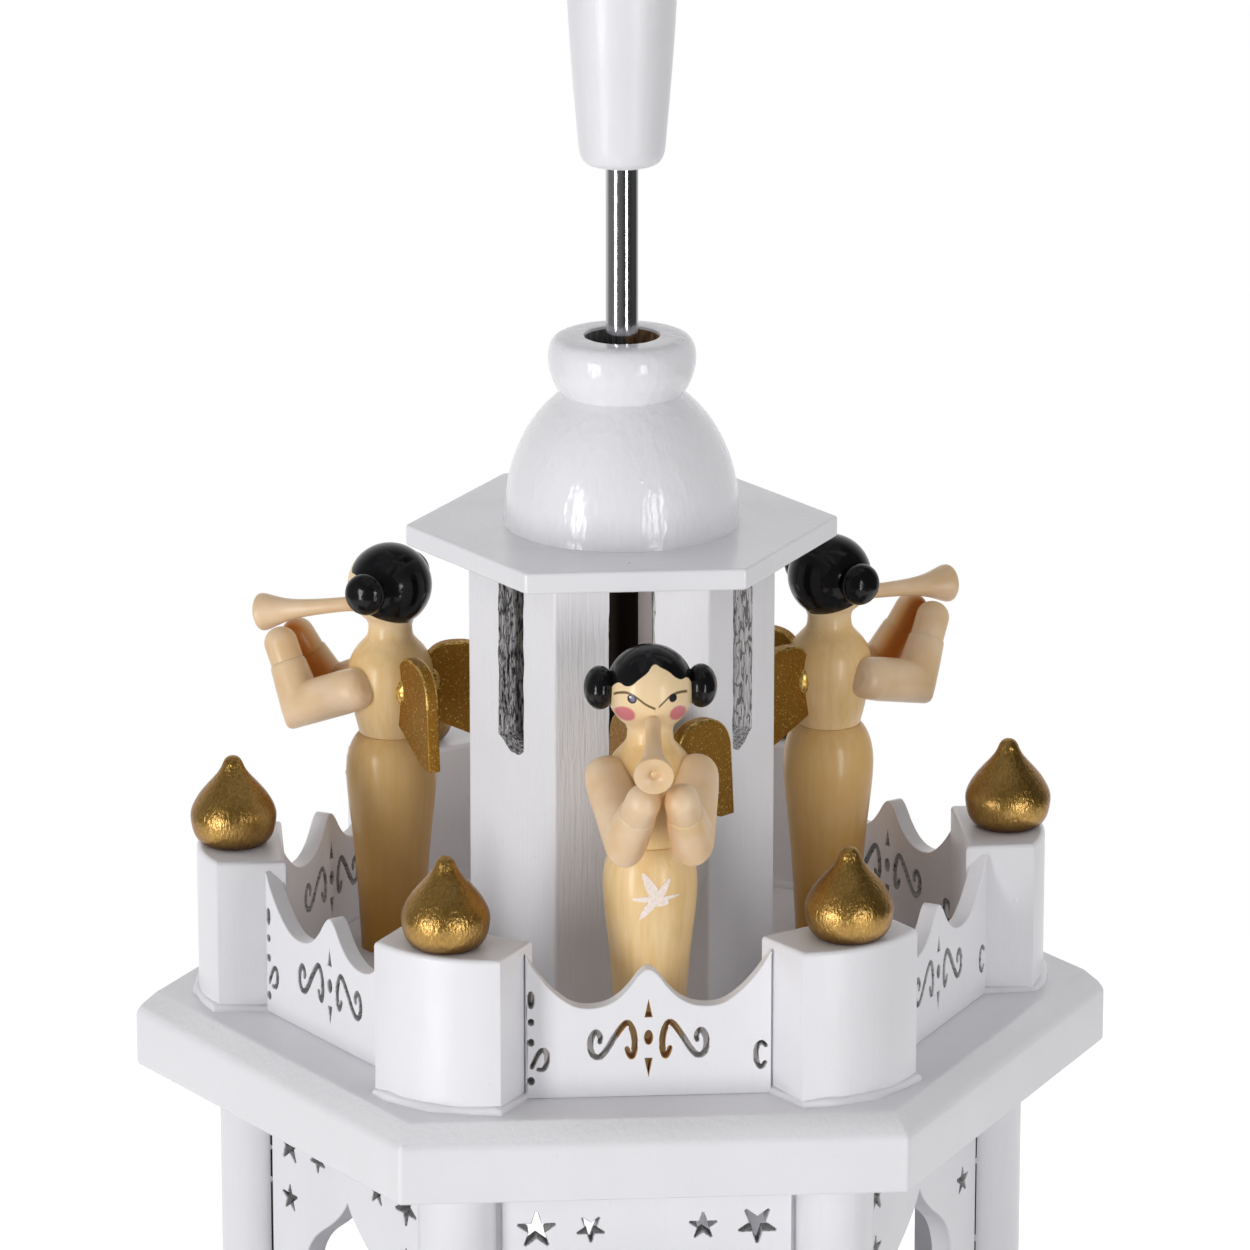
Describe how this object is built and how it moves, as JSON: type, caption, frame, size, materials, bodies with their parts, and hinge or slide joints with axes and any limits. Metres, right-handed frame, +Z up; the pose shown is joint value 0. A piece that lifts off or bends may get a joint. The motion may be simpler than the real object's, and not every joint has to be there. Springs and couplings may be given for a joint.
{
  "type": "christmas pyramid",
  "caption": "Free-standing white wooden candle carousel: arched storey, railed deck with trumpet angels, domed tower, and a bladed rotor that turns a small table on a steel shaft.",
  "frame": {"origin": "middle of the underside of the base board, on the surface that it stands on", "axes": "+Z up along the shaft; -Y out of the front railing panel; +X to its right seen from the front"},
  "size_m": [0.284, 0.248, 0.3595],
  "materials": {
    "white_paint": "satin white paint on wood",
    "gold_paint": "metallic gold paint on wood",
    "lacquered_wood": "clear gloss lacquer, with painted hair and face",
    "cast_resin": "satin",
    "polished_steel": "polished",
    "brass": "turned",
    "dark_bush": "dark oiled wood"
  },
  "bodies": {
    "stand": {"base_board": "white_paint", "bearing_cup": "brass", "column_1": "white_paint", "column_2": "white_paint", "column_3": "white_paint", "column_4": "white_paint", "column_5": "white_paint", "column_6": "white_paint", "arch_panel_1": "white_paint", "arch_panel_2": "white_paint", "arch_panel_3": "white_paint", "arch_panel_4": "white_paint", "arch_panel_5": "white_paint", "arch_panel_6": "white_paint", "deck_board": "white_paint", "post_1": "white_paint", "post_2": "white_paint", "post_3": "white_paint", "post_4": "white_paint", "post_5": "white_paint", "post_6": "white_paint", "onion_finial_1": "gold_paint", "onion_finial_2": "gold_paint", "onion_finial_3": "gold_paint", "onion_finial_4": "gold_paint", "onion_finial_5": "gold_paint", "onion_finial_6": "gold_paint", "railing_panel_1": "white_paint", "railing_panel_2": "white_paint", "railing_panel_3": "white_paint", "railing_panel_4": "white_paint", "railing_panel_5": "white_paint", "railing_panel_6": "white_paint", "tower": "white_paint", "roof_plate": "white_paint", "dome_cap": "white_paint", "guide_bush": "dark_bush", "angel_1_skirt": "lacquered_wood", "angel_1_torso": "lacquered_wood", "angel_1_arms": "cast_resin", "angel_1_wings": "gold_paint", "angel_2_skirt": "lacquered_wood", "angel_2_torso": "lacquered_wood", "angel_2_arms": "cast_resin", "angel_2_wings": "gold_paint", "angel_3_skirt": "lacquered_wood", "angel_3_torso": "lacquered_wood", "angel_3_arms": "cast_resin", "angel_3_wings": "gold_paint"},
    "rotor": {"shaft": "polished_steel", "turntable": "white_paint", "hub": "white_paint", "hub_knob": "gold_paint"},
    "fan_blade_1": {"blade_1": "white_paint"},
    "fan_blade_2": {"blade_2": "white_paint"},
    "fan_blade_3": {"blade_3": "white_paint"},
    "fan_blade_4": {"blade_4": "white_paint"},
    "fan_blade_5": {"blade_5": "white_paint"},
    "fan_blade_6": {"blade_6": "white_paint"}
  },
  "joints": [
    {"name": "rotor_spin", "type": "hinge", "parent": "stand", "child": "rotor", "pos_m": [0, 0, 0.018], "axis": [0, 0, 1], "continuous": true},
    {"name": "blade_1_pitch", "type": "hinge", "parent": "rotor", "child": "fan_blade_1", "pos_m": [0.009, -0.01559, 0.3355], "axis": [0.5, -0.866, 0], "range_deg": [-25, 25]},
    {"name": "blade_2_pitch", "type": "hinge", "parent": "rotor", "child": "fan_blade_2", "pos_m": [0.018, 0, 0.3355], "axis": [1, 0, 0], "range_deg": [-25, 25]},
    {"name": "blade_3_pitch", "type": "hinge", "parent": "rotor", "child": "fan_blade_3", "pos_m": [0.009, 0.01559, 0.3355], "axis": [0.5, 0.866, 0], "range_deg": [-25, 25]},
    {"name": "blade_4_pitch", "type": "hinge", "parent": "rotor", "child": "fan_blade_4", "pos_m": [-0.009, 0.01559, 0.3355], "axis": [-0.5, 0.866, 0], "range_deg": [-25, 25]},
    {"name": "blade_5_pitch", "type": "hinge", "parent": "rotor", "child": "fan_blade_5", "pos_m": [-0.018, 0, 0.3355], "axis": [-1, 0, 0], "range_deg": [-25, 25]},
    {"name": "blade_6_pitch", "type": "hinge", "parent": "rotor", "child": "fan_blade_6", "pos_m": [-0.009, -0.01559, 0.3355], "axis": [-0.5, -0.866, 0], "range_deg": [-25, 25]}
  ]
}
